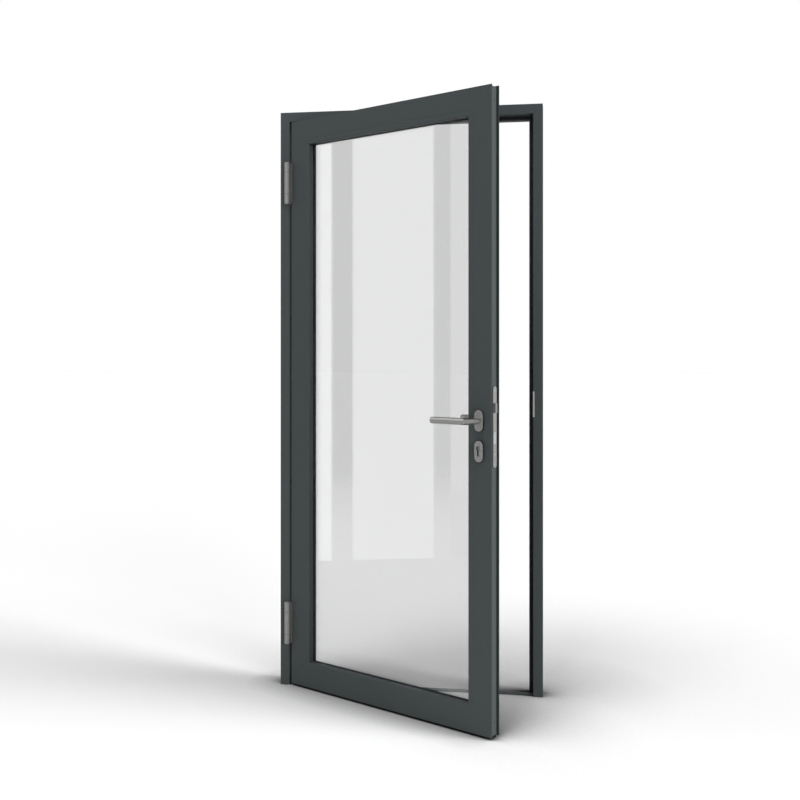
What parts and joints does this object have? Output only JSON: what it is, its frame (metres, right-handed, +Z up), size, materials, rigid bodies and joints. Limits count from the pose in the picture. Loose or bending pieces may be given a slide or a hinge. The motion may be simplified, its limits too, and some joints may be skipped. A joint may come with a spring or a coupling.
{
  "type": "glazed casement door with frame",
  "caption": "Single-leaf glazed casement door in its frame, with barrel hinges, lever handles, latch and bolt lock, gaskets and threshold.",
  "frame": {"origin": "floor level under the middle of the threshold bar", "axes": "+X from the hinge jamb to the lock jamb, +Y from the pull side to the push side, +Z up; the leaf is stored open by 30 degrees towards -Y"},
  "size_m": [1, 0.5779, 2.2],
  "materials": {
    "painted_profile": "satin powder coat",
    "black_rubber": "matt",
    "black_plastic": "matt",
    "spacer_black": "matt",
    "clear_glass": "clear",
    "hinge_steel": "satin",
    "stainless": "brushed",
    "handle_aluminium": "satin anodised",
    "zinc_steel": "zinc plated",
    "nickel_brass": "nickel plated"
  },
  "bodies": {
    "frame": {"hinge_jamb": "painted_profile", "lock_jamb": "painted_profile", "frame_head": "painted_profile", "frame_corner_cleats": "zinc_steel", "frame_gasket": "black_rubber", "threshold": "painted_profile", "fixing_caps": "black_plastic", "strike_plate": "stainless", "strike_box": "black_plastic", "strike_screws": "stainless", "hinge_upper_frame_part": "hinge_steel", "hinge_lower_frame_part": "hinge_steel", "hinge_upper_pin": "hinge_steel", "hinge_lower_pin": "hinge_steel", "hinge_frame_screws": "hinge_steel"},
    "leaf": {"bead_bottom": "painted_profile", "bead_clips": "black_plastic", "bead_gasket": "black_rubber", "bead_hinge_side": "painted_profile", "bead_lock_side": "painted_profile", "bead_top": "painted_profile", "bottom_rail": "painted_profile", "bottom_seal": "black_rubber", "cylinder_body": "nickel_brass", "cylinder_screw": "stainless", "edge_gasket": "black_rubber", "faceplate_screws": "stainless", "furniture_studs": "stainless", "hinge_leaf_screws": "hinge_steel", "hinge_lower_bushes": "black_plastic", "hinge_lower_leaf_part": "hinge_steel", "hinge_stile": "painted_profile", "hinge_upper_bushes": "black_plastic", "hinge_upper_leaf_part": "hinge_steel", "leaf_corner_cleats": "zinc_steel", "leaf_corner_pins": "zinc_steel", "lock_case": "zinc_steel", "lock_faceplate": "stainless", "lock_stile": "painted_profile", "pane_spacer": "spacer_black", "pull_escutcheon": "handle_aluminium", "pull_pane": "clear_glass", "pull_rose": "handle_aluminium", "push_escutcheon": "handle_aluminium", "push_pane": "clear_glass", "push_rose": "handle_aluminium", "rear_glazing_gasket": "black_rubber", "setting_blocks": "black_plastic", "top_rail": "painted_profile"},
    "handle": {"pull_lever": "handle_aluminium", "push_lever": "handle_aluminium", "spindle": "zinc_steel", "follower": "zinc_steel", "lever_grub_screws": "stainless"},
    "latch": {"latch_bolt": "nickel_brass"},
    "deadbolt": {"deadbolt": "nickel_brass"},
    "pull_key": {"pull_plug": "nickel_brass"},
    "push_key": {"push_plug": "nickel_brass"}
  },
  "joints": [
    {"name": "door_swing", "type": "hinge", "parent": "frame", "child": "leaf", "pos_m": [-0.469, -0.04, 1.1], "axis": [0, 0, -1], "range_deg": [-30, 140]},
    {"name": "handle_turn", "type": "hinge", "parent": "leaf", "child": "handle", "pos_m": [0.31245, -0.45249, 1.0516], "axis": [-0.5, -0.866, 0], "range_deg": [0, 40], "stiffness_Nm_per_rad": 3, "springref_deg": -20.05},
    {"name": "latch_slide", "type": "slide", "parent": "leaf", "child": "latch", "axis": [0.866, -0.5, 0], "range_m": [-0.007, 0]},
    {"name": "pull_key_turn", "type": "hinge", "parent": "leaf", "child": "pull_key", "pos_m": [0.3047, -0.46591, 0.9596], "axis": [0.5, 0.866, 0], "range_deg": [0, 360]},
    {"name": "push_key_turn", "type": "hinge", "parent": "leaf", "child": "push_key", "pos_m": [0.3202, -0.43906, 0.9596], "axis": [0.5, 0.866, 0], "range_deg": [0, 360]},
    {"name": "deadbolt_slide", "type": "slide", "parent": "leaf", "child": "deadbolt", "axis": [0.866, -0.5, 0], "range_m": [0, 0.02]}
  ],
  "couplings": [
    {"joint": "latch_slide", "follows": "handle_turn", "m_per_rad": -0.010027},
    {"joint": "deadbolt_slide", "follows": "pull_key_turn", "m_per_rad": 0.0031831}
  ]
}
